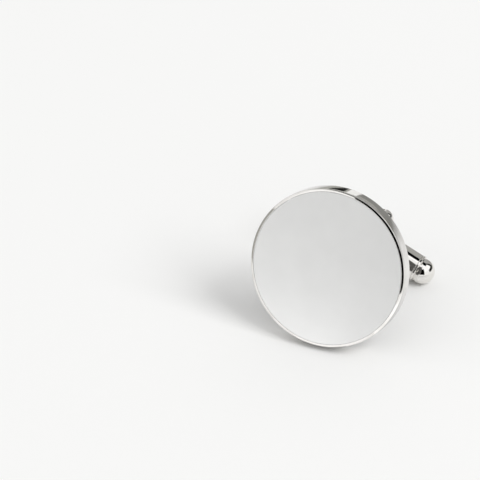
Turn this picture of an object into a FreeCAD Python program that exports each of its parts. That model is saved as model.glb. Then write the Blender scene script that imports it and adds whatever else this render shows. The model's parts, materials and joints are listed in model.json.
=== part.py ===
"""Cufflink with a swivel toggle bar, in millimetres.

A satin face plate lies in a polished round cup. On the cup's back a foot holds a forked post, and
between the fork's arms a toggle bar with ball ends turns on a riveted pin.

Every piece is drawn in a bench frame: the face lies on z = 0, the post rises along +Z, the bar lies
along X and the pin along Y. One placement then stands the link on a table as it leans by itself, on
three points: the cup's rim, the ball at one end of the bar and the lower head of the pin.
"""
import FreeCAD
import Part
import Sketcher
import math
import os

SIZES = [
    # round head
    ("disc_radius", 9.0, "outer radius of the cup"),
    ("disc_thickness", 2.0, "cup height, from the face to its back"),
    ("rim_round", 0.15, "rounding of the cup's back edge"),
    ("bevel_width", 0.2, "bevel on the lip, measured along the radius"),
    ("bevel_depth", 0.073, "bevel on the lip, measured along the axis"),
    ("lip_round", 0.12, "rounding between the bevel and the cup's side"),
    ("lip_flat", 0.04, "flat of the lip inside the bevel"),
    ("plate_seam", 0.02, "gap round the face plate in its recess"),
    ("plate_thickness", 0.6, "face plate thickness"),
    ("plate_edge", 0.04, "edge break round the face"),
    ("film_thickness", 0.08, "glue film under the face plate"),
    ("film_margin", 0.3, "how far the film stays inside the plate's edge"),
    # post
    ("foot_radius", 3.4, "foot radius"),
    ("foot_thickness", 0.6, "foot thickness"),
    ("foot_round", 0.25, "rounding of the foot's edge"),
    ("tenon_radius", 0.8, "tenon that passes through the fork's base"),
    ("tenon_clear", 0.02, "clearance round the tenon"),
    ("peen_margin", 0.09, "room between the tenon's peened head and the fork's bends"),
    ("peen_height", 0.45, "height of the peened head"),
    ("strip_thickness", 0.9, "thickness of the strip that the fork is bent from"),
    ("strip_width", 2.3, "width of that strip"),
    ("strip_edge", 0.15, "rounding of the strip's outer edges"),
    ("bend_round", 0.6, "inside radius of the fork's two bends"),
    ("pin_height", 15.5, "pin axis above the face"),
    # pin and washers
    ("pin_radius", 0.6, "pin radius"),
    ("pin_clear", 0.02, "clearance of the pin in the fork's arms"),
    ("head_overhang", 0.54, "how far the pin's round heads spread past it"),
    ("head_neck", 0.12, "straight part of a head, under its half ball"),
    ("washer_width", 0.4, "washer width, from its bore to its edge"),
    ("washer_margin", 0.12, "room round a washer in its seat on the bar"),
    ("run_clear", 0.05, "running clearance of the bar on pin and washers"),
    ("swing_clear", 0.2, "room between the fork's arms and the widest part of the bar"),
    # toggle bar
    ("bar_radius", 1.6, "bar radius"),
    ("bar_edge", 0.08, "edge break at the bar's ends"),
    ("seat_depth", 0.25, "depth of the washer seats below the bar's crown"),
    ("ball_radius", 1.49, "ball radius"),
    ("ball_offset", 6.8, "ball centre from the pin axis"),
    ("collar_radius", 1.63, "collar radius"),
    ("collar_thickness", 0.26, "collar thickness"),
    ("collar_edge", 0.06, "edge break round the collar"),
    ("collar_offset", 0.5, "collar's middle, inboard of the ball's centre"),
    ("spigot_radius", 0.85, "spigot of an end cap"),
    ("spigot_length", 2.0, "spigot length"),
    ("spigot_clear", 0.02, "glue gap round the spigot"),
    ("socket_relief", 0.1, "free depth past the end of the spigot"),
]

# Sizes that follow from the ones in the sheet
BEVEL_SLANT = "sqrt(Sizes.bevel_width^2 + Sizes.bevel_depth^2)"
LIP_ROUND_WIDTH = f"(Sizes.lip_round * (1 - Sizes.bevel_depth / {BEVEL_SLANT}))"
LIP_ROUND_DEPTH = f"(Sizes.lip_round * Sizes.bevel_width / {BEVEL_SLANT})"
BEVEL_RADIUS = f"(Sizes.disc_radius - {LIP_ROUND_WIDTH})"
LIP_RADIUS = f"({BEVEL_RADIUS} - Sizes.bevel_width)"
RECESS_RADIUS = f"({LIP_RADIUS} - Sizes.lip_flat)"
RECESS_DEPTH = "(Sizes.plate_thickness + Sizes.film_thickness)"
PLATE_RADIUS = f"({RECESS_RADIUS} - Sizes.plate_seam)"
FILM_RADIUS = f"({PLATE_RADIUS} - Sizes.film_margin)"
FOOT_TOP = "(Sizes.disc_thickness + Sizes.foot_thickness)"
BASE_TOP = f"({FOOT_TOP} + Sizes.strip_thickness)"
STRIP_HALF = "(Sizes.strip_width / 2)"
GAP_HALF = "(max(Sizes.collar_radius; Sizes.ball_radius; Sizes.bar_radius) + Sizes.swing_clear)"
PEEN_RADIUS = f"({GAP_HALF} - Sizes.bend_round - Sizes.peen_margin)"
ARM_OUTER = f"({GAP_HALF} + Sizes.strip_thickness)"
OUTER_BEND = "(Sizes.bend_round + Sizes.strip_thickness)"
HEAD_RADIUS = "(Sizes.pin_radius + Sizes.head_overhang)"
HEAD_CENTRE = f"({ARM_OUTER} + Sizes.head_neck)"
PIN_BORE = "(Sizes.pin_radius + Sizes.run_clear)"
SEAT_FACE = "(Sizes.bar_radius - Sizes.seat_depth)"
WASHER_RADIUS = f"({PIN_BORE} + Sizes.washer_width)"
SEAT_RADIUS = f"({WASHER_RADIUS} + Sizes.washer_margin)"
COLLAR_OUT = "(Sizes.ball_offset - Sizes.collar_offset + Sizes.collar_thickness / 2)"
BAR_END = f"({COLLAR_OUT} - Sizes.collar_thickness)"
NECK_RADIUS = f"sqrt(Sizes.ball_radius^2 - (Sizes.ball_offset - {COLLAR_OUT})^2)"
SPIGOT_END = f"({BAR_END} - Sizes.spigot_length)"
SOCKET_RADIUS = "(Sizes.spigot_radius + Sizes.spigot_clear)"
SOCKET_FLOOR = f"({SPIGOT_END} - Sizes.socket_relief)"

STEEPEST_ROLL = math.radians(60)
HALVINGS = 60
TOUCH = 1e-4

doc = FreeCAD.newDocument("Cufflink")


def fill_sheet():
    """The driving sizes, one to a row, each with an alias that the pieces are bound to."""
    sheet = doc.addObject("Spreadsheet::Sheet", "Sizes")
    for row, (alias, value, meaning) in enumerate(SIZES, start=1):
        sheet.set(f"A{row}", meaning)
        sheet.set(f"B{row}", str(value))
        sheet.setAlias(f"B{row}", alias)
    doc.recompute()
    return sheet


def number(expression):
    return float(sheet.evalExpression(expression))


def new_body(node):
    body = doc.addObject("PartDesign::Body", node)
    body.Label = node
    return body


def new_sketch(body, plane, name):
    sketch = body.newObject("Sketcher::SketchObject", name)
    planes = {feature.Role: feature for feature in body.Origin.OriginFeatures}
    sketch.AttachmentSupport = (planes[plane], [""])
    sketch.MapMode = "FlatFace"
    return sketch


def hold_point(sketch, geometry, end, across, along):
    """Fix one point of the sketch at two expressions, or on an axis where one of them is 0."""
    for kind, axis, expression in (("DistanceX", -2, across), ("DistanceY", -1, along)):
        if expression == "0":
            sketch.addConstraint(Sketcher.Constraint("PointOnObject", geometry, end, axis))
        else:
            place = number(expression)
            index = sketch.addConstraint(Sketcher.Constraint(kind, -1, 1, geometry, end, place))
            sketch.setExpression(f"Constraints[{index}]", expression)


def hold_radius(sketch, geometry, radius):
    index = sketch.addConstraint(Sketcher.Constraint("Radius", geometry, number(radius)))
    sketch.setExpression(f"Constraints[{index}]", radius)


def arc_between(start, finish, radius, turn):
    """The arc under half a circle from start to finish, turning left for 1 and right for -1."""
    chord = finish - start
    rise = math.sqrt(radius ** 2 - (chord.Length / 2) ** 2)
    left = FreeCAD.Vector(-chord.y, chord.x, 0).normalize()
    centre = start + chord * 0.5 + left * (rise * turn)
    first, last = (start, finish) if turn > 0 else (finish, start)
    angles = [math.atan2(point.y - centre.y, point.x - centre.x) for point in (first, last)]
    return Part.ArcOfCircle(Part.Circle(centre, FreeCAD.Vector(0, 0, 1), radius), *angles)


def draw_outline(sketch, corners, arcs=None):
    """A closed loop through the corners. A side is straight unless arcs gives its radius and turn."""
    arcs = arcs or {}
    points = [FreeCAD.Vector(number(across), number(along), 0) for across, along in corners]
    ends = []
    for side, start in enumerate(points):
        finish = points[(side + 1) % len(points)]
        if side in arcs:
            radius, turn = arcs[side]
            geometry = sketch.addGeometry(arc_between(start, finish, number(radius), turn))
            ends.append((geometry, 1, 2) if turn > 0 else (geometry, 2, 1))
        else:
            ends.append((sketch.addGeometry(Part.LineSegment(start, finish)), 1, 2))
    for side, (geometry, _, last) in enumerate(ends):
        following, first, _ = ends[(side + 1) % len(ends)]
        sketch.addConstraint(Sketcher.Constraint("Coincident", geometry, last, following, first))
    for (geometry, first, _), (across, along) in zip(ends, corners):
        hold_point(sketch, geometry, first, across, along)
    for side, (radius, _) in arcs.items():
        hold_radius(sketch, ends[side][0], radius)


def draw_circle(sketch, along, radius):
    """A circle centred on the sketch's vertical axis."""
    circle = Part.Circle(FreeCAD.Vector(0, number(along), 0), FreeCAD.Vector(0, 0, 1), number(radius))
    geometry = sketch.addGeometry(circle)
    if along == "0":
        sketch.addConstraint(Sketcher.Constraint("Coincident", geometry, 3, -1, 1))
    else:
        hold_point(sketch, geometry, 3, "0", along)
    hold_radius(sketch, geometry, radius)


def turned(node, plane, axis, corners, arcs=None):
    """A piece turned on a lathe: an outline spun once round the sketch's horizontal or vertical axis."""
    body = new_body(node)
    sketch = new_sketch(body, plane, "half_section")
    draw_outline(sketch, corners, arcs)
    spin = body.newObject("PartDesign::Revolution", "turning")
    spin.Profile = sketch
    spin.ReferenceAxis = (sketch, [axis])
    spin.Angle = 360
    return body


def cut_through(body, sketch, name):
    """Cut the sketch right through the body, to both sides, and make sure that it took something away."""
    doc.recompute()
    before = body.Shape.Volume
    pocket = body.newObject("PartDesign::Pocket", name)
    pocket.Profile = sketch
    pocket.SideType = "Symmetric"
    pocket.Type = "ThroughAll"
    doc.recompute()
    if body.Shape.Volume >= before - TOUCH:
        raise RuntimeError(f"{name} cuts nothing from {body.Label}")


def round_edges(body, base, name, radius, chosen):
    """Round every edge of the base feature whose middle point is one of the chosen ones."""
    edges = []
    for index, edge in enumerate(base.Shape.Edges, start=1):
        middle = edge.valueAt((edge.FirstParameter + edge.LastParameter) / 2)
        if chosen(middle):
            edges.append(f"Edge{index}")
    fillet = body.newObject("PartDesign::Fillet", name)
    fillet.Base = (base, edges)
    fillet.setExpression("Radius", radius)
    doc.recompute()
    return fillet


def same(first, second):
    return abs(first - second) < TOUCH


def face_plate():
    """Satin disc that fills the front of the cup."""
    corners = [
        ("0", "0"),
        (f"{PLATE_RADIUS} - Sizes.plate_edge", "0"),
        (PLATE_RADIUS, "Sizes.plate_edge"),
        (PLATE_RADIUS, "Sizes.plate_thickness"),
        ("0", "Sizes.plate_thickness"),
    ]
    return turned("face_plate", "XZ_Plane", "V_Axis", corners)


def bond_film():
    """Glue between the face plate and the floor of the recess."""
    corners = [
        ("0", "Sizes.plate_thickness"),
        (FILM_RADIUS, "Sizes.plate_thickness"),
        (FILM_RADIUS, RECESS_DEPTH),
        ("0", RECESS_DEPTH),
    ]
    return turned("bond_film", "XZ_Plane", "V_Axis", corners)


def bezel_cup():
    """Polished cup: a recess for the plate, a lip with a shallow bevel, and rounded outer edges."""
    corners = [
        ("0", RECESS_DEPTH),
        (RECESS_RADIUS, RECESS_DEPTH),
        (RECESS_RADIUS, "0"),
        (LIP_RADIUS, "0"),
        (BEVEL_RADIUS, "Sizes.bevel_depth"),
        ("Sizes.disc_radius", f"Sizes.bevel_depth + {LIP_ROUND_DEPTH}"),
        ("Sizes.disc_radius", "Sizes.disc_thickness - Sizes.rim_round"),
        ("Sizes.disc_radius - Sizes.rim_round", "Sizes.disc_thickness"),
        ("0", "Sizes.disc_thickness"),
    ]
    arcs = {4: ("Sizes.lip_round", 1), 6: ("Sizes.rim_round", 1)}
    return turned("bezel_cup", "XZ_Plane", "V_Axis", corners, arcs)


def post_foot():
    """Pad on the cup's back. Its tenon passes through the fork's base and is peened over on top."""
    corners = [
        ("0", "Sizes.disc_thickness"),
        ("Sizes.foot_radius", "Sizes.disc_thickness"),
        ("Sizes.foot_radius", f"{FOOT_TOP} - Sizes.foot_round"),
        ("Sizes.foot_radius - Sizes.foot_round", FOOT_TOP),
        ("Sizes.tenon_radius", FOOT_TOP),
        ("Sizes.tenon_radius", BASE_TOP),
        (PEEN_RADIUS, BASE_TOP),
        ("0", f"{BASE_TOP} + Sizes.peen_height"),
    ]
    cap_radius = f"({PEEN_RADIUS}^2 + Sizes.peen_height^2) / (2 * Sizes.peen_height)"
    arcs = {2: ("Sizes.foot_round", 1), 6: (cap_radius, 1)}
    return turned("post_foot", "XZ_Plane", "V_Axis", corners, arcs)


def post_fork():
    """Strip bent to a U. Its two arms end in half rounds about the pin, and its base sits on the foot."""
    body = new_body("post_fork")
    side = new_sketch(body, "XZ_Plane", "arm_outline")
    corners = [
        (f"-{STRIP_HALF}", FOOT_TOP),
        (STRIP_HALF, FOOT_TOP),
        (STRIP_HALF, "Sizes.pin_height"),
        ("0", f"Sizes.pin_height + {STRIP_HALF}"),
        (f"-{STRIP_HALF}", "Sizes.pin_height"),
    ]
    draw_outline(side, corners, {2: (STRIP_HALF, 1), 3: (STRIP_HALF, 1)})
    block = body.newObject("PartDesign::Pad", "both_arms")
    block.Profile = side
    block.SideType = "Symmetric"
    block.setExpression("Length", f"2 * {ARM_OUTER}")

    slot = new_sketch(body, "YZ_Plane", "space_between_arms")
    slot_top = "Sizes.pin_height + Sizes.strip_width"
    corners = [
        (f"-{GAP_HALF}", f"{BASE_TOP} + Sizes.bend_round"),
        (f"-{GAP_HALF} + Sizes.bend_round", BASE_TOP),
        (f"{GAP_HALF} - Sizes.bend_round", BASE_TOP),
        (GAP_HALF, f"{BASE_TOP} + Sizes.bend_round"),
        (GAP_HALF, slot_top),
        (f"-{GAP_HALF}", slot_top),
    ]
    draw_outline(slot, corners, {0: ("Sizes.bend_round", 1), 2: ("Sizes.bend_round", 1)})
    cut_through(body, slot, "arm_gap")

    tenon_hole = new_sketch(body, "XY_Plane", "tenon_circle")
    draw_circle(tenon_hole, "0", "Sizes.tenon_radius + Sizes.tenon_clear")
    cut_through(body, tenon_hole, "tenon_hole")
    pin_hole = new_sketch(body, "XZ_Plane", "pin_circle")
    draw_circle(pin_hole, "Sizes.pin_height", "Sizes.pin_radius + Sizes.pin_clear")
    cut_through(body, pin_hole, "pin_holes")

    half, outer, bottom = number(STRIP_HALF), number(ARM_OUTER), number(FOOT_TOP)
    pin_height, hole = number("Sizes.pin_height"), number("Sizes.pin_radius + 2 * Sizes.pin_clear")
    bend, bend_y = number(OUTER_BEND), number(f"{GAP_HALF} - Sizes.bend_round")
    bend_z = number(f"{BASE_TOP} + Sizes.bend_round")
    bent = round_edges(body, body.Tip, "outer_bends", OUTER_BEND,
                       lambda p: same(abs(p.y), outer) and same(p.z, bottom))

    def on_outer_edge(p):
        in_hole = math.hypot(p.x, p.z - pin_height) < hole
        on_arm = same(abs(p.y), outer) and not in_hole and p.z > bend_z + TOUCH
        on_bend = same(math.hypot(abs(p.y) - bend_y, p.z - bend_z), bend)
        on_base = same(p.z, bottom)
        return on_arm or (same(abs(p.x), half) and (on_bend or on_base))

    round_edges(body, bent, "strip_edges", "Sizes.strip_edge", on_outer_edge)
    return body


def pivot_pin():
    """Rivet through both arms and the bar, with a round head against each arm."""
    corners = [
        ("0", f"-{HEAD_CENTRE} - {HEAD_RADIUS}"),
        (HEAD_RADIUS, f"-{HEAD_CENTRE}"),
        (HEAD_RADIUS, f"-{ARM_OUTER}"),
        ("Sizes.pin_radius", f"-{ARM_OUTER}"),
        ("Sizes.pin_radius", ARM_OUTER),
        (HEAD_RADIUS, ARM_OUTER),
        (HEAD_RADIUS, HEAD_CENTRE),
        ("0", f"{HEAD_CENTRE} + {HEAD_RADIUS}"),
    ]
    return turned("pivot_pin", "XY_Plane", "V_Axis", corners, {0: (HEAD_RADIUS, 1), 6: (HEAD_RADIUS, 1)})


def spring_washer(node):
    """Washer between an arm and its seat on the bar."""
    corners = [
        (PIN_BORE, f"{SEAT_FACE} + Sizes.run_clear"),
        (WASHER_RADIUS, f"{SEAT_FACE} + Sizes.run_clear"),
        (WASHER_RADIUS, GAP_HALF),
        (PIN_BORE, GAP_HALF),
    ]
    return turned(node, "XY_Plane", "V_Axis", corners)


def toggle_bar():
    """Round bar with a blind socket in each end, and a pin bore with a flat seat at each mouth."""
    corners = [
        (f"-{BAR_END}", SOCKET_RADIUS),
        (f"-{BAR_END}", "Sizes.bar_radius - Sizes.bar_edge"),
        (f"-{BAR_END} + Sizes.bar_edge", "Sizes.bar_radius"),
        (f"{BAR_END} - Sizes.bar_edge", "Sizes.bar_radius"),
        (BAR_END, "Sizes.bar_radius - Sizes.bar_edge"),
        (BAR_END, SOCKET_RADIUS),
        (SOCKET_FLOOR, SOCKET_RADIUS),
        (SOCKET_FLOOR, "0"),
        (f"-{SOCKET_FLOOR}", "0"),
        (f"-{SOCKET_FLOOR}", SOCKET_RADIUS),
    ]
    body = turned("toggle_bar", "XY_Plane", "H_Axis", corners)
    doc.recompute()
    before = body.Shape.Volume
    sketch = new_sketch(body, "XY_Plane", "bore_section")
    past_bar = "2 * Sizes.bar_radius"
    corners = [
        ("0", f"-{past_bar}"),
        (SEAT_RADIUS, f"-{past_bar}"),
        (SEAT_RADIUS, f"-{SEAT_FACE}"),
        (PIN_BORE, f"-{SEAT_FACE}"),
        (PIN_BORE, SEAT_FACE),
        (SEAT_RADIUS, SEAT_FACE),
        (SEAT_RADIUS, past_bar),
        ("0", past_bar),
    ]
    draw_outline(sketch, corners)
    bore = body.newObject("PartDesign::Groove", "pin_bore_and_seats")
    bore.Profile = sketch
    bore.ReferenceAxis = (sketch, ["V_Axis"])
    bore.Angle = 360
    doc.recompute()
    if body.Shape.Volume >= before - TOUCH:
        raise RuntimeError("the pin bore cuts nothing from the bar")
    return body


def end_cap(node):
    """Ball and collar at one end of the bar, with a spigot that is glued into the socket."""
    corners = [
        (SPIGOT_END, "0"),
        (SPIGOT_END, "Sizes.spigot_radius"),
        (BAR_END, "Sizes.spigot_radius"),
        (BAR_END, "Sizes.collar_radius - Sizes.collar_edge"),
        (f"{BAR_END} + Sizes.collar_edge", "Sizes.collar_radius"),
        (f"{COLLAR_OUT} - Sizes.collar_edge", "Sizes.collar_radius"),
        (COLLAR_OUT, "Sizes.collar_radius - Sizes.collar_edge"),
        (COLLAR_OUT, NECK_RADIUS),
        ("Sizes.ball_offset + Sizes.ball_radius", "0"),
    ]
    return turned(node, "XY_Plane", "H_Axis", corners, {7: ("Sizes.ball_radius", -1)})


def rest_angles():
    """Lean and roll at which the rim, the lower ball and the lower pin head reach equally far down."""
    rim_round = number("Sizes.rim_round")
    rim_out = number("Sizes.disc_radius") - rim_round
    rim_back = number("Sizes.disc_thickness") - rim_round
    pin_height, ball_offset = number("Sizes.pin_height"), number("Sizes.ball_offset")
    ball, head = number("Sizes.ball_radius"), number(HEAD_RADIUS)
    head_centre = number(HEAD_CENTRE)

    def lean_on_ball(roll):
        out = rim_out - ball_offset * math.sin(roll)
        back = pin_height - rim_back
        return math.acos((ball - rim_round) / math.hypot(out, back)) - math.atan2(back, out)

    flat, steep = 0.0, STEEPEST_ROLL
    for _ in range(HALVINGS):
        roll = (flat + steep) / 2
        head_out = head_centre * math.cos(roll) - ball_offset * math.sin(roll)
        if head_out * math.cos(lean_on_ball(roll)) + head > ball:
            flat = roll
        else:
            steep = roll
    return lean_on_ball(roll), roll


def rest_turn(lean, roll):
    """Turn from the bench frame to the table's: +Z is up, and the face looks along -Y and a little up."""
    down = FreeCAD.Vector(0, -math.sin(lean), -math.cos(lean))
    right = FreeCAD.Vector(1, 0, 0)
    bar = right * math.cos(roll) + down * math.sin(roll)
    pin = down * math.cos(roll) - right * math.sin(roll)
    post = FreeCAD.Vector(0, math.cos(lean), -math.sin(lean))
    return FreeCAD.Rotation(bar, pin, post)


def stand_on_table(bench_places):
    """Place every piece: the middle of the link's footprint at the origin, its lowest point on z = 0."""
    lean, roll = rest_angles()
    rest = FreeCAD.Placement(FreeCAD.Vector(), rest_turn(lean, roll))
    box = FreeCAD.BoundBox()
    for body, place in bench_places:
        body.Placement = rest.multiply(place)
    doc.recompute()
    for body, _ in bench_places:
        box.add(body.Shape.optimalBoundingBox(False, False))
    rest.Base = FreeCAD.Vector(-box.Center.x, -box.Center.y, -box.ZMin)
    for body, place in bench_places:
        body.Placement = rest.multiply(place)
    doc.recompute()
    print(f"lean {math.degrees(lean):.4f} roll {math.degrees(roll):.4f} degrees")
    print("box", [round(side, 4) for side in (box.XLength, box.YLength, box.ZLength)])
    for name, height in (("face centre", "0"), ("pin centre", "Sizes.pin_height")):
        print(name, [round(value, 5) for value in rest.multVec(FreeCAD.Vector(0, 0, number(height)))])
    for name, axis in (("bar", FreeCAD.Vector(1, 0, 0)), ("pin", FreeCAD.Vector(0, 1, 0)),
                       ("post", FreeCAD.Vector(0, 0, 1))):
        print(name, "axis", [round(value, 8) for value in rest.Rotation.multVec(axis)])


def check_and_write(bodies):
    """Stop at anything that failed to build, then write one file for each piece."""
    for item in doc.Objects:
        if "Invalid" in item.State or "Error" in item.State:
            raise RuntimeError(f"{item.Name} did not build: {item.State}")
    for body in bodies:
        if body.Shape.isNull() or not body.Shape.isValid() or len(body.Shape.Solids) != 1:
            raise RuntimeError(f"{body.Label} is not one sound solid")
    os.makedirs("parts", exist_ok=True)
    for body in bodies:
        body.Shape.exportStep(f"parts/{body.Label}.step")
        print(f"{body.Label}: {body.Shape.Volume:.4f} mm3")


sheet = fill_sheet()
on_face = FreeCAD.Placement()
pin_centre = FreeCAD.Vector(0, 0, number("Sizes.pin_height"))
on_pin = FreeCAD.Placement(pin_centre, FreeCAD.Rotation())
on_pin_turned = FreeCAD.Placement(pin_centre, FreeCAD.Rotation(FreeCAD.Vector(0, 0, 1), 180))
pieces = [
    (face_plate(), on_face),
    (bond_film(), on_face),
    (bezel_cup(), on_face),
    (post_foot(), on_face),
    (post_fork(), on_face),
    (pivot_pin(), on_pin),
    (spring_washer("spring_washer_lower"), on_pin),
    (spring_washer("spring_washer_upper"), on_pin_turned),
    (toggle_bar(), on_pin),
    (end_cap("end_cap_right"), on_pin),
    (end_cap("end_cap_left"), on_pin_turned),
]
doc.recompute()
stand_on_table(pieces)
check_and_write([body for body, _ in pieces])
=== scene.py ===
# %% [markdown]
# A round cufflink with a swivel toggle bar, leaning on a white table.
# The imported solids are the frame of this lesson: they say where each piece is and how the bar turns.
# Polished metal shows every facet of a coarse mesh, so each visible piece is turned or bent again here
# with fine steps, on the same sizes, and stands in the place of its solid.

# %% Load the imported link
import json
import math

import bmesh
import bpy
from mathutils import Matrix, Vector


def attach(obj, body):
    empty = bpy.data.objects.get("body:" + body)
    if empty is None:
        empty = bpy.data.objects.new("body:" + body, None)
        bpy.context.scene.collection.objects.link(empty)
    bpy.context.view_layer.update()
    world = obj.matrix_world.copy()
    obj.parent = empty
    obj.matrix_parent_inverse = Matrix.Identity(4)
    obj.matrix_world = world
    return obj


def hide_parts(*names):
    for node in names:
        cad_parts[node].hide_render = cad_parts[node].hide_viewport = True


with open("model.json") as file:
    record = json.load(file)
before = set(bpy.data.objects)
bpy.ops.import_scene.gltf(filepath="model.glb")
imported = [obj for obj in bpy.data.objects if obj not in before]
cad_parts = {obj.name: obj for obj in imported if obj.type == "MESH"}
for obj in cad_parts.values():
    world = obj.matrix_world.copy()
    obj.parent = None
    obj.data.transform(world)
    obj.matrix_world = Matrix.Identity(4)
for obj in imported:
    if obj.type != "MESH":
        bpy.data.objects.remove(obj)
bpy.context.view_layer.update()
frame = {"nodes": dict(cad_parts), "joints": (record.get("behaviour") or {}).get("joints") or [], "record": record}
print("solids:", ", ".join(sorted(frame["nodes"])))

# %% [markdown]
# A maker would hold the link in a vice with its face flat, so the pieces are drawn in such a bench frame,
# in millimetres: the face lies on z = 0, the post rises along z, the bar lies along x and the pin along y.
# The face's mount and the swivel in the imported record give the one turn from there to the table.

# %% From the bench to the table
MM = 0.001
swivel = frame["joints"][0]
face_mount = next(mount for mount in frame["record"]["mounts"] if mount["name"] == "face")
face_centre = Vector(face_mount["pos_m"])
post_axis = -Vector(face_mount["axis"])
pin_axis = Vector(swivel["axis"])
bar_axis = pin_axis.cross(post_axis)
turn = Matrix((bar_axis, pin_axis, post_axis)).transposed().to_4x4()
bench_to_table = Matrix.Translation(face_centre) @ turn @ Matrix.Scale(MM, 4)
PIN_HEIGHT = (Vector(swivel["pos_m"]) - face_centre).dot(post_axis) / MM
lean = math.degrees(math.asin(-post_axis.z))
print(f"pin {PIN_HEIGHT:.2f} mm behind the face, leaning {lean:.1f} degrees")

# %% [markdown]
# Each finish is a small node tree. Colours are written as sRGB hex values, the way a picture editor shows
# them, and one function turns them into the linear numbers that a shader works with. A second function
# adds a node, sets it and links it, so that each finish below reads as a list of its nodes. The other two
# start a finish and turn a size in millimetres into the scale of a pattern.

# %% Helpers for finishes
def linear(hex_colour):
    channels = [int(hex_colour[place:place + 2], 16) / 255 for place in (1, 3, 5)]
    return [c / 12.92 if c <= 0.04045 else ((c + 0.055) / 1.055) ** 2.4 for c in channels] + [1.0]


def add_node(tree, kind, values=None, links=None, **settings):
    node = tree.nodes.new(kind)
    for name, value in settings.items():
        setattr(node, name, value)
    for name, value in (values or {}).items():
        node.inputs[name].default_value = value
    for name, socket in (links or {}).items():
        tree.links.new(socket, node.inputs[name])
    return node


def new_finish(name):
    material = bpy.data.materials.new(name)
    material.use_nodes = True
    return material, material.node_tree, material.node_tree.nodes["Principled BSDF"]


def per_metre(size_mm):
    """Texture scale at which one feature of the pattern is about that many millimetres across."""
    return 1 / (size_mm * MM)


print(f"#808080 is {linear('#808080')[0]:.3f} in linear light")

# %% [markdown]
# The cup, the post, the pin and the bar are stainless steel, turned, tumbled and buffed to a mirror.
# The eye sees mostly what stands round it. Buffing leaves a faint haze that varies over half a millimetre
# and wheel marks a few hundredths of a millimetre wide. A picture of scratches could give both, but noise
# neither repeats nor shows a seam. The marks are drawn 0.09 mm wide, because finer ones would not show at
# all, and they only change the roughness a little.

# %% Mirror-polished stainless steel
polished_steel, tree, steel = new_finish("mirror_polished_stainless_steel")
place = add_node(tree, "ShaderNodeTexCoord").outputs["Object"]
haze = add_node(tree, "ShaderNodeTexNoise", {"Scale": per_metre(0.5), "Detail": 3.0}, {"Vector": place})
wheel_stretch = add_node(tree, "ShaderNodeMapping", {"Scale": (1.0, 0.12, 1.0)}, {"Vector": place})
wheel_marks = add_node(tree, "ShaderNodeTexNoise", {"Scale": per_metre(0.09), "Detail": 2.0},
                       {"Vector": wheel_stretch.outputs["Vector"]})
dulling = add_node(tree, "ShaderNodeMath", {}, {0: haze.outputs["Fac"], 1: wheel_marks.outputs["Fac"]},
                   operation="MULTIPLY")
roughness = add_node(tree, "ShaderNodeMapRange",
                     {"From Min": 0.1, "From Max": 0.45, "To Min": 0.03, "To Max": 0.08},
                     {"Value": dulling.outputs["Value"]})
tint = add_node(tree, "ShaderNodeValToRGB", {}, {"Fac": haze.outputs["Fac"]})
tint.color_ramp.elements[0].position, tint.color_ramp.elements[0].color = 0.3, linear("#ECEAE6")
tint.color_ramp.elements[1].position, tint.color_ramp.elements[1].color = 0.7, linear("#F0EEEB")
tree.links.new(tint.outputs["Color"], steel.inputs["Base Color"])
tree.links.new(roughness.outputs["Result"], steel.inputs["Roughness"])
steel.inputs["Metallic"].default_value = 1.0
print(f"{polished_steel.name}: {len(tree.nodes)} nodes")

# %% [markdown]
# The cup's rim is buffed as well, but on the lathe, so faint rings are left round it from the turning tool.
# A ring is a place at one depth along the post, so the depth drives a noise of one dimension. Real rings
# are about 0.05 mm apart; they are drawn 0.16 mm apart, or the camera could not tell them from plain grey.

# %% Rim turned on the lathe
rim_steel, tree, steel = new_finish("lathe_turned_stainless_steel")
place = add_node(tree, "ShaderNodeTexCoord").outputs["Object"]
depth = add_node(tree, "ShaderNodeVectorMath", {1: post_axis}, {0: place}, operation="DOT_PRODUCT")
rings = add_node(tree, "ShaderNodeTexNoise", {"Scale": per_metre(0.16), "Detail": 2.0},
                 {"W": depth.outputs["Value"]}, noise_dimensions="1D")
patches = add_node(tree, "ShaderNodeTexNoise", {"Scale": per_metre(2.5)}, {"Vector": place})
cut = add_node(tree, "ShaderNodeMath", {}, {0: rings.outputs["Fac"], 1: patches.outputs["Fac"]},
               operation="MULTIPLY")
tint = add_node(tree, "ShaderNodeValToRGB", {}, {"Fac": cut.outputs["Value"]})
tint.color_ramp.elements[0].position, tint.color_ramp.elements[0].color = 0.15, linear("#DEDCD8")
tint.color_ramp.elements[1].position, tint.color_ramp.elements[1].color = 0.35, linear("#F2F0ED")
roughness = add_node(tree, "ShaderNodeMapRange",
                     {"From Min": 0.1, "From Max": 0.4, "To Min": 0.13, "To Max": 0.04},
                     {"Value": cut.outputs["Value"]})
tree.links.new(tint.outputs["Color"], steel.inputs["Base Color"])
tree.links.new(roughness.outputs["Result"], steel.inputs["Roughness"])
steel.inputs["Metallic"].default_value = 1.0
print(f"{rim_steel.name}: {len(tree.nodes)} nodes")

# %% [markdown]
# The face plate is the same steel, blasted with fine glass beads until it is an even satin. Its tiny
# dents spread a reflection so wide that the table and the walls melt into one soft gradient. The dents
# are about 0.03 mm across; they are drawn at 0.1 mm so that a close view still finds them.

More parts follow.
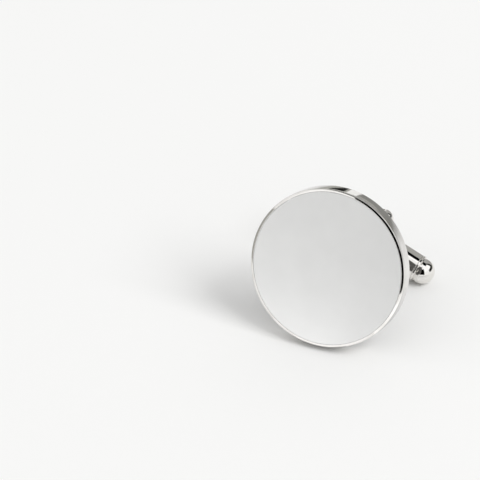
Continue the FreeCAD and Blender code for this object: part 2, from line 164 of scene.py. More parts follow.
# %% Satin stainless steel
satin_steel, tree, steel = new_finish("bead_blasted_satin_stainless_steel")
place = add_node(tree, "ShaderNodeTexCoord").outputs["Object"]
dents = add_node(tree, "ShaderNodeTexNoise", {"Scale": per_metre(0.1), "Detail": 4.0, "Roughness": 0.6},
                 {"Vector": place})
clouds = add_node(tree, "ShaderNodeTexNoise", {"Scale": per_metre(3.0), "Detail": 2.0}, {"Vector": place})
grain = add_node(tree, "ShaderNodeMapRange", {"To Min": 0.36, "To Max": 0.44},
                 {"Value": dents.outputs["Fac"]})
tint = add_node(tree, "ShaderNodeValToRGB", {}, {"Fac": clouds.outputs["Fac"]})
tint.color_ramp.elements[0].position, tint.color_ramp.elements[0].color = 0.3, linear("#EEEEED")
tint.color_ramp.elements[1].position, tint.color_ramp.elements[1].color = 0.7, linear("#F1F1F0")
relief = add_node(tree, "ShaderNodeBump", {"Strength": 0.04, "Distance": 0.01 * MM},
                  {"Height": dents.outputs["Fac"]})
tree.links.new(tint.outputs["Color"], steel.inputs["Base Color"])
tree.links.new(grain.outputs["Result"], steel.inputs["Roughness"])
tree.links.new(relief.outputs["Normal"], steel.inputs["Normal"])
steel.inputs["Metallic"].default_value = 1.0
print(f"{satin_steel.name}: {len(tree.nodes)} nodes")

# %% [markdown]
# The back of the cup is out of sight on the shirt, so it is only tumbled with stones, not buffed. Tumbling
# leaves fine scratches that run every way. The borders of a pattern of cells stand for the scratches,
# because they run every way too. Real ones are about 0.02 mm wide; they are drawn 0.2 mm apart, so that a
# close view still finds them. The back's grey is darker than the buffed steel, partly from the duller
# tumbled finish and partly as painted shade: the ball and the bar mirror it as the dark patch of shade that
# sets them off from the bright rim.

# %% Tumbled stainless steel, its grey partly painted shade
tumbled_steel, tree, steel = new_finish("tumbled_steel_with_painted_shade")
place = add_node(tree, "ShaderNodeTexCoord").outputs["Object"]
scratches = add_node(tree, "ShaderNodeTexVoronoi", {"Scale": per_metre(0.2)}, {"Vector": place},
                     feature="DISTANCE_TO_EDGE")
stains = add_node(tree, "ShaderNodeTexNoise", {"Scale": per_metre(1.2), "Detail": 4.0}, {"Vector": place})
worn = add_node(tree, "ShaderNodeMapRange", {"From Max": 0.2, "To Min": 0.27, "To Max": 0.34},
                {"Value": scratches.outputs["Distance"]})
tint = add_node(tree, "ShaderNodeValToRGB", {}, {"Fac": stains.outputs["Fac"]})
# Both greys are darker than the buffed steel, partly as painted shade for the ball and the bar to mirror.
tint.color_ramp.elements[0].position, tint.color_ramp.elements[0].color = 0.3, linear("#6E6D6B")
tint.color_ramp.elements[1].position, tint.color_ramp.elements[1].color = 0.7, linear("#767573")
tree.links.new(tint.outputs["Color"], steel.inputs["Base Color"])
tree.links.new(worn.outputs["Result"], steel.inputs["Roughness"])
steel.inputs["Metallic"].default_value = 1.0
print(f"{tumbled_steel.name}: {len(tree.nodes)} nodes")

# %% [markdown]
# The two washers are stamped from rolled spring steel, greyer and duller than the rest, with faint rolling
# lines about 0.06 mm apart. The lines are a noise that is stretched along the way the sheet was rolled.

# %% Rolled spring steel
spring_steel, tree, steel = new_finish("rolled_spring_steel")
place = add_node(tree, "ShaderNodeTexCoord").outputs["Object"]
rolling = add_node(tree, "ShaderNodeMapping", {"Scale": (0.1, 1.0, 1.0)}, {"Vector": place})
lines = add_node(tree, "ShaderNodeTexNoise", {"Scale": per_metre(0.06), "Detail": 3.0},
                 {"Vector": rolling.outputs["Vector"]})
tint = add_node(tree, "ShaderNodeValToRGB", {}, {"Fac": lines.outputs["Fac"]})
tint.color_ramp.elements[0].position, tint.color_ramp.elements[0].color = 0.3, linear("#B4B3B0")
tint.color_ramp.elements[1].position, tint.color_ramp.elements[1].color = 0.7, linear("#CAC9C6")
dull = add_node(tree, "ShaderNodeMapRange", {"To Min": 0.22, "To Max": 0.36},
                {"Value": lines.outputs["Fac"]})
tree.links.new(tint.outputs["Color"], steel.inputs["Base Color"])
tree.links.new(dull.outputs["Result"], steel.inputs["Roughness"])
steel.inputs["Metallic"].default_value = 1.0
print(f"{spring_steel.name}: {len(tree.nodes)} nodes")

# %% [markdown]
# The glue under the face plate is a film of clear epoxy, a little yellow, with clouds of fine bubbles about
# 0.4 mm across. Nobody sees it in the finished link, so it keeps its solid and only gets a finish.

# %% Clear epoxy film
clear_glue, tree, glue = new_finish("clear_epoxy_film")
place = add_node(tree, "ShaderNodeTexCoord").outputs["Object"]
bubbles = add_node(tree, "ShaderNodeTexNoise", {"Scale": per_metre(0.4), "Detail": 2.0}, {"Vector": place})
tint = add_node(tree, "ShaderNodeValToRGB", {}, {"Fac": bubbles.outputs["Fac"]})
tint.color_ramp.elements[0].color = linear("#D8D2BE")
tint.color_ramp.elements[1].color = linear("#E6E2D2")
tree.links.new(tint.outputs["Color"], glue.inputs["Base Color"])
glue.inputs["Roughness"].default_value = 0.25
frame["nodes"]["bond_film"].data.materials.clear()
frame["nodes"]["bond_film"].data.materials.append(clear_glue)
print(f"{clear_glue.name}: {len(tree.nodes)} nodes")

# %% [markdown]
# Nearly every piece of a cufflink comes off a lathe. On a lathe a half section is turned round an axis, so
# that is what the next helpers do: draw the half section as a chain of corners, round a corner by bevelling
# its vertex, swing a ball end round its centre with a small spin, and spin the whole chain once round.

# %% Lathe work
STEPS_ROUND, CORNER_STEPS, BALL_STEPS = 192, 6, 28
TOUCHING = 1e-4


def half_section(bm, *moves):
    """A chain of corners (across, along) or (across, along, rounding). A move of ("ball", centre,
    degrees) swings the last point round a centre on the axis."""
    rounded, last = [], None
    for move in moves:
        if move[0] == "ball":
            _, centre, degrees = move
            swung = bmesh.ops.spin(bm, geom=[last], cent=(0, 0, centre), axis=(0, -1, 0),
                                   angle=math.radians(degrees), steps=BALL_STEPS)
            last = next(item for item in swung["geom_last"] if isinstance(item, bmesh.types.BMVert))
            continue
        corner = bm.verts.new((move[0], 0, move[1]))
        if last:
            bm.edges.new((last, corner))
        if len(move) == 3:
            rounded.append((corner, move[2]))
        last = corner
    for corner, size in rounded:
        bmesh.ops.bevel(bm, geom=[corner], offset=size, offset_type="OFFSET", affect="VERTICES",
                        segments=CORNER_STEPS, profile=0.5, material=-1)


def turned(*moves):
    """A half section spun once round the z axis."""
    bm = bmesh.new()
    half_section(bm, *moves)
    bmesh.ops.spin(bm, geom=bm.verts[:] + bm.edges[:], cent=(0, 0, 0), axis=(0, 0, 1),
                   angle=math.tau, steps=STEPS_ROUND, use_merge=True)
    bmesh.ops.remove_doubles(bm, verts=bm.verts, dist=TOUCHING)
    bmesh.ops.recalc_face_normals(bm, faces=bm.faces)
    return bm


print(f"lathe: {STEPS_ROUND} steps round, {CORNER_STEPS} to a rounded corner, {BALL_STEPS} along a ball")

# %% [markdown]
# A finished mesh is moved from the bench to the table, shaded smooth except at true edges, and handed to
# the body that it moves with. Weighted normals keep the flats flat, so that a mirror finish shows no swell
# beside a rounded edge.

# %% Hand a piece to its body
SHARP_DEGREES = 35


def fit(bm, name, place, body, node, finish):
    """Make an object of a bench mesh and let it ride its body in the place of a solid."""
    bmesh.ops.transform(bm, matrix=bench_to_table @ place, verts=bm.verts)
    for face in bm.faces:
        face.smooth = True
    open_edges = sum(not edge.is_manifold for edge in bm.edges)
    mesh = bpy.data.meshes.new(name)
    bm.to_mesh(mesh)
    bm.free()
    mesh.set_sharp_from_angle(angle=math.radians(SHARP_DEGREES))
    mesh.materials.append(finish)
    piece = bpy.data.objects.new(name, mesh)
    bpy.context.scene.collection.objects.link(piece)
    piece.modifiers.new("flat_flats", "WEIGHTED_NORMAL").keep_sharp = True
    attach(piece, body)
    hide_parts(node)
    print(f"{name}: {len(mesh.polygons)} faces, {open_edges} open edges")
    return piece


print(f"edges sharper than {SHARP_DEGREES} degrees stay crisp")

# %% [markdown]
# The round head is two turned pieces: a polished cup with a recess, and a satin plate glued into it flush.
# Round the plate runs a hair-thin seam, then a narrow flat lip, a shallow bevel and a rounded shoulder.
# The bevel is what draws the fine dark and light lines round the face. A cylinder with a Bevel modifier
# would come close, but here each corner has a rounding of its own, which a half section gives at once.

# %% Face plate and cup
on_face = Matrix.Identity(4)
PLATE_RADIUS, PLATE_THICKNESS = 8.661, 0.6
PLATE_EDGE, PLATE_BACK_EDGE = 0.03, 0.04
CUP_RADIUS, CUP_HEIGHT = 9.0, 2.0
RECESS_RADIUS, RECESS_DEPTH = 8.681, 0.68
LIP_RADIUS, LIP_EDGE = 8.721, 0.01
SHOULDER_HEIGHT, SHOULDER_CUT = 0.102, 0.084
BACK_ROUND, BACK_EDGE = 0.15, 0.01

plate = turned((0, 0), (PLATE_RADIUS, 0, PLATE_EDGE),
               (PLATE_RADIUS, PLATE_THICKNESS, PLATE_BACK_EDGE), (0, PLATE_THICKNESS))
fit(plate, "satin_face", on_face, "head", "face_plate", satin_steel)

cup = turned((0, RECESS_DEPTH), (RECESS_RADIUS, RECESS_DEPTH), (RECESS_RADIUS, 0, LIP_EDGE),
             (LIP_RADIUS, 0, LIP_EDGE), (CUP_RADIUS, SHOULDER_HEIGHT, SHOULDER_CUT),
             (CUP_RADIUS, CUP_HEIGHT, BACK_ROUND), (0, CUP_HEIGHT))
cup = fit(cup, "polished_cup", on_face, "head", "bezel_cup", rim_steel)
# The cup's back takes the tumbled finish, whose darker grey is partly painted shade.
cup.data.materials.append(tumbled_steel)
back_faces = [face for face in cup.data.polygons
              if (face.center - face_centre).dot(post_axis) > (CUP_HEIGHT - BACK_EDGE) * MM]
for face in back_faces:
    face.material_index = 1
print(len(back_faces), "faces of the cup's back are tumbled")

# %% [markdown]
# Behind the cup a round foot is brazed on. Its tenon goes through the base of the fork and is hammered over
# into a low dome, which holds the fork for good. Three cylinders would do for the outside, but as one half
# section there are no walls left inside. The dome is the cap of a ball, whose radius follows from the
# dome's width and height.

# %% Foot with its peened tenon
FOOT_TOP, BASE_TOP = 2.6, 3.5
FOOT_RADIUS, FOOT_ROUND, FOOT_EDGE = 3.4, 0.25, 0.03
TENON_RADIUS = 0.8
PEEN_RADIUS, PEEN_HEIGHT = 1.14, 0.45
peen_ball = (PEEN_RADIUS ** 2 + PEEN_HEIGHT ** 2) / (2 * PEEN_HEIGHT)
peen_centre = BASE_TOP + PEEN_HEIGHT - peen_ball
peen_swing = math.degrees(math.asin(PEEN_RADIUS / peen_ball))

foot = turned((0, CUP_HEIGHT), (FOOT_RADIUS, CUP_HEIGHT, FOOT_EDGE), (FOOT_RADIUS, FOOT_TOP, FOOT_ROUND),
              (TENON_RADIUS, FOOT_TOP), (TENON_RADIUS, BASE_TOP), (PEEN_RADIUS, BASE_TOP),
              ("ball", peen_centre, peen_swing))
fit(foot, "brazed_foot", on_face, "head", "post_foot", polished_steel)

# %% [markdown]
# The post is a strip of steel bent to a U, with its ends rounded about the pin. It could be cut from a
# block with booleans, but a strip that is laid out flat and bent keeps clean loops for the edge rounding.
# Two helpers lay it out: one makes a ring of faces round a hole and squares it off to the strip's width,
# the other pulls a row of edges out along a line.

# %% Helpers for the strip
STRIP_HALF, RING_STEPS = 1.15, 48


def ring_in_strip(bm, hole, round_top):
    """Faces round a hole, out to the strip's edges. With a round top, only the lower half is squared."""
    inner, outer = bm.verts.new((hole, 0, 0)), bm.verts.new((STRIP_HALF, 0, 0))
    spoke = bm.edges.new((inner, outer))
    before = set(bm.verts) - {inner, outer}
    bmesh.ops.spin(bm, geom=[inner, outer, spoke], cent=(0, 0, 0), axis=(0, 0, 1), angle=math.tau,
                   steps=RING_STEPS, use_merge=True)
    ring = [vert for vert in bm.verts if vert not in before]
    for vert in ring:
        if vert.co.length > (hole + STRIP_HALF) / 2 and not (round_top and vert.co.y > 0):
            vert.co *= STRIP_HALF / max(abs(vert.co.x), abs(vert.co.y))
    return ring


def run_out(bm, edges, move):
    """Pull edges out along a line and return the new ones."""
    pulled = bmesh.ops.extrude_edge_only(bm, edges=edges)["geom"]
    pulled_verts = [item for item in pulled if isinstance(item, bmesh.types.BMVert)]
    bmesh.ops.translate(bm, vec=move, verts=pulled_verts)
    return [item for item in pulled if isinstance(item, bmesh.types.BMEdge)]


print(f"strip {2 * STRIP_HALF} mm wide, {RING_STEPS} steps round a hole")

# %% [markdown]
# One half of the fork comes first, as a sheet without thickness. The ring for the pin stands up at the end
# of the arm, and the ring for the tenon lies on the foot and is cut through its middle. The base is then
# run out to the bend, spun up through a quarter turn and run on until it meets the arm's ring.

# %% Half of the fork as a sheet
BEND_START, BEND_RADIUS, BEND_STEPS = 1.23, 1.5, 16
ARM_FACE = BEND_START + BEND_RADIUS
TENON_HOLE, PIN_HOLE = 0.82, 0.62

fork = bmesh.new()
arm_ring = ring_in_strip(fork, PIN_HOLE, True)
stand_up = Matrix.Translation((0, ARM_FACE, PIN_HEIGHT)) @ Matrix.Rotation(math.pi / 2, 4, "X")
bmesh.ops.transform(fork, matrix=stand_up, verts=arm_ring)
base_ring = ring_in_strip(fork, TENON_HOLE, False)
bmesh.ops.translate(fork, vec=(0, 0, FOOT_TOP), verts=base_ring)
bmesh.ops.bisect_plane(fork, geom=fork.verts[:] + fork.edges[:] + fork.faces[:], dist=TOUCHING,
                       plane_co=(0, 0, 0), plane_no=(0, -1, 0), clear_outer=True)
base_side = [edge for edge in fork.edges if all(
    abs(vert.co.y - STRIP_HALF) < TOUCHING and vert.co.z < BASE_TOP for vert in edge.verts)]
bend_foot = run_out(fork, base_side, (0, BEND_START - STRIP_HALF, 0))
bent = bmesh.ops.spin(fork, geom=bend_foot + list({vert for edge in bend_foot for vert in edge.verts}),
                      cent=(0, BEND_START, FOOT_TOP + BEND_RADIUS), axis=(1, 0, 0), angle=math.pi / 2,
                      steps=BEND_STEPS)["geom_last"]
bend_top = [item for item in bent if isinstance(item, bmesh.types.BMEdge)]
arm_length = PIN_HEIGHT - STRIP_HALF - FOOT_TOP - BEND_RADIUS
run_out(fork, bend_top, (0, 0, arm_length))
print(f"half sheet: {len(fork.faces)} faces, straight arm {arm_length:.2f} mm long")

# %% [markdown]
# The half is mirrored to a whole fork, its seams are merged and its normals made to agree. They have to
# point to the outside of the U, because the wall grows inwards from the sheet. A bevel then rounds every
# edge of the strip, as tumbling does.

# %% Forked post
STRIP_THICKNESS, SEAM = 0.9, 1e-3
EDGE_ROUND, EDGE_STEPS, EDGE_DEGREES = 0.13, 4, 60

bmesh.ops.remove_doubles(fork, verts=fork.verts, dist=SEAM)
bmesh.ops.mirror(fork, geom=fork.verts[:] + fork.edges[:] + fork.faces[:], axis="Y", merge_dist=SEAM)
bmesh.ops.remove_doubles(fork, verts=fork.verts, dist=SEAM)
bmesh.ops.recalc_face_normals(fork, faces=fork.faces)
lowest = min(fork.faces, key=lambda face: face.calc_center_median().z)
if lowest.normal.z > 0:
    bmesh.ops.reverse_faces(fork, faces=fork.faces)
bmesh.ops.solidify(fork, geom=fork.faces[:], thickness=STRIP_THICKNESS)
bmesh.ops.recalc_face_normals(fork, faces=fork.faces)
strip_edges = [edge for edge in fork.edges if edge.calc_face_angle(0) > math.radians(EDGE_DEGREES)]
bmesh.ops.bevel(fork, geom=strip_edges, offset=EDGE_ROUND, offset_type="OFFSET", affect="EDGES",
                segments=EDGE_STEPS, profile=0.5, material=-1, clamp_overlap=True)
fit(fork, "forked_post", on_face, "head", "post_fork", polished_steel)

# %% [markdown]
# The pin is a rivet: a rod with a round head set against each arm. Two washers fill the gap between the
# arms and the flat seats on the bar, and their pinch keeps the bar where it is turned to. All three are
# turned about the pin's own axis.

# %% Pin and washers
at_pin = Matrix.Translation((0, 0, PIN_HEIGHT))
along_pin = at_pin @ Matrix.Rotation(-math.pi / 2, 4, "X")
half_turn = Matrix.Rotation(math.pi, 4, "Z")
ARM_INNER = ARM_FACE - STRIP_THICKNESS
PIN_RADIUS, HEAD_RADIUS, HEAD_NECK, HEAD_EDGE = 0.6, 1.14, 0.12, 0.02
HEAD_CENTRE = ARM_FACE + HEAD_NECK
WASHER_BORE, WASHER_RADIUS, WASHER_INNER, WASHER_EDGE = 0.65, 1.05, 1.4, 0.04

pin = turned((0, -HEAD_CENTRE - HEAD_RADIUS), ("ball", -HEAD_CENTRE, 90),
             (HEAD_RADIUS, -ARM_FACE, HEAD_EDGE), (PIN_RADIUS, -ARM_FACE), (PIN_RADIUS, ARM_FACE),
             (HEAD_RADIUS, ARM_FACE, HEAD_EDGE), (HEAD_RADIUS, HEAD_CENTRE), ("ball", HEAD_CENTRE, 90))
fit(pin, "riveted_pin", along_pin, "head", "pivot_pin", polished_steel)

for side, place in (("lower", along_pin), ("upper", half_turn @ along_pin)):
    washer = turned((WASHER_BORE, WASHER_INNER), (WASHER_RADIUS, WASHER_INNER, WASHER_EDGE),
                    (WASHER_RADIUS, ARM_INNER, WASHER_EDGE), (WASHER_BORE, ARM_INNER),
                    (WASHER_BORE, WASHER_INNER))
    fit(washer, f"washer_{side}", place, "head", f"spring_washer_{side}", spring_steel)

# %% [markdown]
# The toggle bar is a turned rod with a socket in each end. Across its middle goes the bore for the pin,
# with a flat seat for a washer at each mouth. A bore across a round rod has no simple half section, so rod
# and cutter are turned first, and the cutter is laid across the rod.

# %% Bar and cutter from the lathe
along_bar = at_pin @ Matrix.Rotation(math.pi / 2, 4, "Y")
BAR_RADIUS, BAR_END, BAR_EDGE = 1.6, 6.17, 0.08
SOCKET_RADIUS, SOCKET_FLOOR = 0.87, 4.07
SEAT_FACE, SEAT_RADIUS, SEAT_EDGE = 1.35, 1.17, 1.5
PAST_BAR = 3.2

bar = turned((0, -SOCKET_FLOOR), (SOCKET_RADIUS, -SOCKET_FLOOR), (SOCKET_RADIUS, -BAR_END),
             (BAR_RADIUS, -BAR_END, BAR_EDGE), (BAR_RADIUS, -SEAT_EDGE), (BAR_RADIUS, SEAT_EDGE),
             (BAR_RADIUS, BAR_END, BAR_EDGE), (SOCKET_RADIUS, BAR_END), (SOCKET_RADIUS, SOCKET_FLOOR),
             (0, SOCKET_FLOOR))
cutter = turned((0, -PAST_BAR), (SEAT_RADIUS, -PAST_BAR), (SEAT_RADIUS, -SEAT_FACE),
                (WASHER_BORE, -SEAT_FACE), (WASHER_BORE, SEAT_FACE), (SEAT_RADIUS, SEAT_FACE),
                (SEAT_RADIUS, PAST_BAR), (0, PAST_BAR))
bmesh.ops.transform(cutter, matrix=along_bar.inverted() @ along_pin, verts=cutter.verts)
print(f"bar {2 * BAR_END:.2f} mm long, bore {2 * WASHER_BORE:.2f} mm, seats {2 * SEAT_FACE:.2f} mm apart")

# %% [markdown]
# A boolean now does what the milling machine does. It is a modifier, so rod and cutter become objects for a
# moment, the milled mesh is read back and both objects go again. The slivers that the boolean leaves along
# its cut are merged.

# %% Toggle bar with its bore and seats
SLIVER = 0.002


def loose_object(bm, name):
    """Make an object of a mesh that rides no body."""
    mesh = bpy.data.meshes.new(name)
    bm.to_mesh(mesh)
    bm.free()
    holder = bpy.data.objects.new(name, mesh)
    bpy.context.scene.collection.objects.link(holder)
    return holder


blank, mill = loose_object(bar, "bar_blank"), loose_object(cutter, "seat_mill")
milling = blank.modifiers.new("seats", "BOOLEAN")
milling.operation, milling.solver, milling.object = "DIFFERENCE", "EXACT", mill
bpy.context.view_layer.update()
milled = blank.evaluated_get(bpy.context.evaluated_depsgraph_get()).to_mesh()
bar = bmesh.new()
bar.from_mesh(milled)
for holder in (blank, mill):
    bpy.data.objects.remove(holder)
bmesh.ops.remove_doubles(bar, verts=bar.verts, dist=SLIVER)
bmesh.ops.dissolve_degenerate(bar, dist=SLIVER, edges=bar.edges)
bmesh.ops.recalc_face_normals(bar, faces=bar.faces)
fit(bar, "milled_bar", along_bar, "toggle", "toggle_bar", polished_steel)

# %% [markdown]
# Each end of the bar carries a cap: a ball with a thin collar behind it, and a spigot glued into the
# socket. A sphere set against a cylinder would show a broken line where they meet, so the ball is swung
# from the collar within one half section. The two caps are the same piece, one of them turned half round.

# %% End caps
BALL_RADIUS, BALL_CENTRE = 1.49, 6.8
COLLAR_RADIUS, COLLAR_OUT, COLLAR_EDGE = 1.63, 6.43, 0.06
SPIGOT_RADIUS, SPIGOT_END, SPIGOT_EDGE = 0.85, 4.17, 0.1
neck_drop = BALL_CENTRE - COLLAR_OUT
neck_radius = math.sqrt(BALL_RADIUS ** 2 - neck_drop ** 2)
ball_swing = 90 + math.degrees(math.asin(neck_drop / BALL_RADIUS))

for side, place in (("right", along_bar), ("left", half_turn @ along_bar)):
    cap = turned((0, SPIGOT_END), (SPIGOT_RADIUS, SPIGOT_END, SPIGOT_EDGE), (SPIGOT_RADIUS, BAR_END),
                 (COLLAR_RADIUS, BAR_END, COLLAR_EDGE), (COLLAR_RADIUS, COLLAR_OUT, COLLAR_EDGE),
                 (neck_radius, COLLAR_OUT), ("ball", BALL_CENTRE, ball_swing))
    fit(cap, f"ball_cap_{side}", place, "toggle", f"end_cap_{side}", polished_steel)

# %% [markdown]
# The link leans on a white table. The table is one flat diffuse sheet, bright because of its own colour,
# and it keeps the soft shadow that anchors the link.

# %% Table
TABLE_SIZE = 2000
table_paper, _, paper = new_finish("white_table_paper")
paper.inputs["Base Color"].default_value = linear("#F6F6F5")
paper.inputs["Roughness"].default_value = 0.9
paper.inputs["Specular IOR Level"].default_value = 0.0
sheet = bmesh.new()
bmesh.ops.create_grid(sheet, x_segments=1, y_segments=1, size=TABLE_SIZE * MM / 2)
table = loose_object(sheet, "table")
table.data.materials.append(table_paper)
print(f"table {TABLE_SIZE} mm square")

# %% [markdown]
# Bright metal is photographed inside a white tent: white all round gives it its colour, and a few dark
# boards give it its edges. The world is the tent, white to the camera and in reflections, and a softer grey
# for the light that it throws. The boards come after it.

# %% White tent
TENT_WHITE, TENT_LIGHT = 1.0, 0.69
world = bpy.data.worlds.new("tent")
bpy.context.scene.world = world
world.use_nodes = True
tree = world.node_tree
path = add_node(tree, "ShaderNodeLightPath")
seen = add_node(tree, "ShaderNodeMath", {},
                {0: path.outputs["Is Camera Ray"], 1: path.outputs["Is Glossy Ray"]}, operation="MAXIMUM")
seen = add_node(tree, "ShaderNodeMath", {},
                {0: seen.outputs["Value"], 1: path.outputs["Is Transmission Ray"]}, operation="MAXIMUM")
level = add_node(tree, "ShaderNodeMapRange", {"To Min": TENT_LIGHT, "To Max": TENT_WHITE},
                 {"Value": seen.outputs["Value"]})
tree.links.new(level.outputs["Result"], tree.nodes["Background"].inputs["Strength"])
tree.nodes["Background"].inputs["Color"].default_value = (1, 1, 1, 1)
print(f"the tent is seen at {TENT_WHITE} and throws light at {TENT_LIGHT}")

# %% [markdown]
# A board is described by the part of the tent that it covers, as seen from the link: so many degrees round
# and so many degrees up. One vertex is swung up into an arc and the arc is swung round, which bends the
# board to the tent. Only reflections see the boards, so they throw no light and cast no shadow.

# %% Helpers for the boards
BOARD_DISTANCE, BOARD_STEPS = 400, 12


def towards(azimuth, elevation):
    """Direction from the link: azimuth 0 is where the face looks, 90 is the link's right."""
    a, e = math.radians(azimuth), math.radians(elevation)
    return Vector((math.sin(a) * math.cos(e), -math.cos(a) * math.cos(e), math.sin(e)))


def show_in_reflections(bm, name, paint):
    holder = loose_object(bm, name)
    holder.data.materials.append(paint)
    for ray in ("camera", "diffuse", "transmission", "volume_scatter", "shadow"):
        setattr(holder, f"visible_{ray}", False)


def board(name, azimuths, elevations, grey, strength=1.0, distance=BOARD_DISTANCE):
    """A glowing board between two azimuths and two elevations, in degrees."""
    paint = bpy.data.materials.new(name)
    paint.use_nodes = True
    paint.node_tree.nodes.clear()
    glow = add_node(paint.node_tree, "ShaderNodeEmission", {"Color": linear(grey), "Strength": strength})
    add_node(paint.node_tree, "ShaderNodeOutputMaterial", {}, {"Surface": glow.outputs["Emission"]})
    bent = bmesh.new()
    corner = bent.verts.new(towards(azimuths[0], elevations[0]) * distance * MM)
    bmesh.ops.spin(bent, geom=[corner], cent=(0, 0, 0), axis=towards(azimuths[0] - 90, 0),
                   angle=math.radians(elevations[1] - elevations[0]), steps=BOARD_STEPS)
    bmesh.ops.spin(bent, geom=bent.verts[:] + bent.edges[:], cent=(0, 0, 0), axis=(0, 0, 1),
                   angle=math.radians(azimuths[1] - azimuths[0]), steps=BOARD_STEPS)
    show_in_reflections(bent, name, paint)
    print(f"{name}: {azimuths[0]} to {azimuths[1]} degrees round, {elevations[0]} to {elevations[1]} up")


print(f"boards stand {BOARD_DISTANCE} mm away, unless they say otherwise")

# %% [markdown]
# The boards are what a mirror finish shows. The dark one about the camera draws the dark line along the
# bevel on the right. Two white ones are a little brighter than the tent: the one on the left lights the top
# of the bevel, the one on the right makes the bright bands on the bar and the ball. Behind stands a grey
# wall with a dark corner and a dark gap above it, which draw the dark lines along the bar. A narrow dark
# flag before a grey card makes the short streak on top of the rim.

# %% Boards round the tent
board("camera_board", (-10, 43), (0, 48), "#060606")
board("key_front", (46, 129), (24, 86), "#FFFFFF", 1.15)
board("fill_front", (-46, -14), (20, 46), "#FFFFFF", 1.12)
board("ceiling_front", (-75, 20), (48, 68), "#5A5A57")
board("ceiling_left", (-173, -75), (50, 88), "#A6A6A0")
board("left_card", (-115, -47), (0, 28), "#A8A8A4", distance=60)
board("key_skirt", (92, 131), (3, 23), "#2A2A29")
board("back_corner", (129, 147), (8, 57), "#1E1E1D")
board("back_wall", (147, 187), (8, 57), "#ACACA9")
board("back_horizon", (131, 187), (0, 8), "#8C8C89")
board("back_gap", (100, 187), (57, 81), "#0C0C0C", distance=396)
board("back_left", (210, 240), (0, 40), "#C4C4C0")
board("tall_flag", (194.5, 203), (7, 34), "#121211", distance=90)
board("flag_edge", (193, 208), (0, 34), "#AEAEA9", distance=94)
board("low_glow", (-46, 2), (0, 7), "#FFFFFF", 1.55, distance=36)

# %% [markdown]
# Five sheets lie a hair above the table, for reflections only. The one behind is light near the link and
# darkens away from it, which gives the rim its soft change from light to grey. A white card in front and a
# dark strip under the rim, a painted contact shadow, let the bevel's lowest part draw a fine light line above
# a dark one. On the right a second white card carries that line on, and a grey sheet, painted shade of the
# table beside the link, sets the rim off against it.

# %% Sheets for reflections, two of them painted shadows
SHEET_LIFT = 0.05


def sheet_for_reflections(name, half_width, span, fade, glow, aside=0):
    """A sheet that spans two places along y. Its glow goes from one level to another as y goes through
    the fade. Aside moves its middle to the right."""
    paint = bpy.data.materials.new(name)
    paint.use_nodes = True
    tree = paint.node_tree
    tree.nodes.clear()
    place = add_node(tree, "ShaderNodeTexCoord").outputs["Object"]
    along = add_node(tree, "ShaderNodeSeparateXYZ", {}, {"Vector": place})
    level = add_node(tree, "ShaderNodeMapRange", {"From Min": fade[0] * MM, "From Max": fade[1] * MM,
                                                  "To Min": glow[0], "To Max": glow[1]},
                     {"Value": along.outputs["Y"]})
    shine = add_node(tree, "ShaderNodeEmission", {}, {"Strength": level.outputs["Result"]})
    add_node(tree, "ShaderNodeOutputMaterial", {}, {"Surface": shine.outputs["Emission"]})
    flat = bmesh.new()
    bmesh.ops.create_grid(flat, x_segments=1, y_segments=1, size=1)
    middle = Vector((aside, (span[0] + span[1]) / 2, SHEET_LIFT)) * MM
    reach = Matrix.Diagonal((half_width * MM, (span[1] - span[0]) / 2 * MM, 1, 1))
    bmesh.ops.transform(flat, matrix=Matrix.Translation(middle) @ reach, verts=flat.verts)
    show_in_reflections(flat, name, paint)
    print(f"{name}: from {span[0]} to {span[1]} mm behind the link's middle")


sheet_for_reflections("back_sheet", 300, span=(15, 390), fade=(25, 150), glow=(0.92, 0.5))
sheet_for_reflections("front_card", 8, span=(-16, -10.4), fade=(-16, -10.4), glow=(1.08, 1.08))
# The dark strip under the rim is a painted contact shadow, seen only in reflections.
sheet_for_reflections("rim_shade", 3.5, span=(-10.4, -9), fade=(-10.4, -10.1), glow=(0.6, 0.12))
sheet_for_reflections("side_card", 26, span=(-60, -10.4), fade=(-60, -10.4), glow=(1.25, 1.25), aside=34)
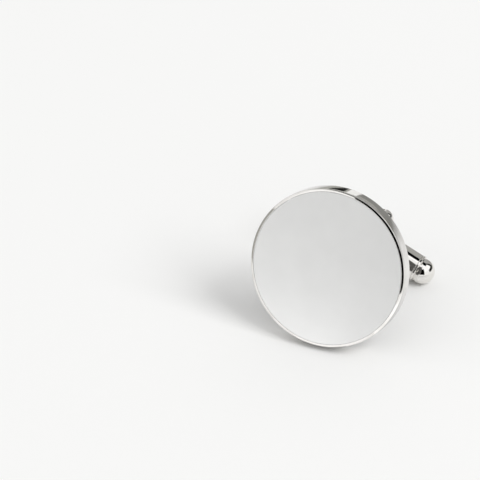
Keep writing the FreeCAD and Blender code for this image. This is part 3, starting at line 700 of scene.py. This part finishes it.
# The grey side sheet is painted shade of the table beside and behind the link, seen only in reflections.
sheet_for_reflections("side_shade", 5, span=(-8, 4.5), fade=(-5, 4.5), glow=(0.6, 0.86), aside=11)

# %% [markdown]
# One large soft box stands high on the right and throws the soft shadow to the left. It gives light only:
# what the metal shows is the boards, so the lamp itself is kept out of reflections.

# %% Soft box
KEY_AZIMUTH, KEY_ELEVATION, KEY_DISTANCE = 80, 46, 3000
KEY_SIZE, KEY_WATTS = 1650, 45
lamp = bpy.data.lights.new("key_softbox", "AREA")
lamp.shape, lamp.size, lamp.energy = "SQUARE", KEY_SIZE * MM, KEY_WATTS
key = bpy.data.objects.new("key_softbox", lamp)
away = towards(KEY_AZIMUTH, KEY_ELEVATION)
key.location = away * KEY_DISTANCE * MM
key.rotation_euler = away.to_track_quat("Z", "Y").to_euler()
key.visible_glossy = False
bpy.context.scene.collection.objects.link(key)
print(f"soft box {KEY_SIZE} mm wide, {KEY_DISTANCE} mm away, {KEY_ELEVATION} degrees up")

# %% [markdown]
# The camera looks down on the link from its right, from far off with a long lens, as one does with small
# shiny things. The link stands right of the middle of a square picture.

# %% Camera
CAMERA_AZIMUTH, CAMERA_ELEVATION, CAMERA_DISTANCE = 22.59, 35.05, 400
LOOKED_AT = Vector((-13.90, 1.60, 3.68))
LENS, SENSOR = 262.5, 36
NEAREST, FARTHEST = 10, 10000
camera = bpy.data.objects.new("camera", bpy.data.cameras.new("camera"))
camera.data.lens, camera.data.sensor_width = LENS, SENSOR
camera.data.clip_start, camera.data.clip_end = NEAREST * MM, FARTHEST * MM
away = towards(CAMERA_AZIMUTH, CAMERA_ELEVATION)
camera.location = (LOOKED_AT + away * CAMERA_DISTANCE) * MM
camera.rotation_euler = away.to_track_quat("Z", "Y").to_euler()
bpy.context.scene.collection.objects.link(camera)
bpy.context.scene.camera = camera
bpy.context.scene.view_settings.view_transform = "Standard"
print(f"camera {CAMERA_DISTANCE} mm away, {CAMERA_ELEVATION} degrees up, lens {LENS} mm")
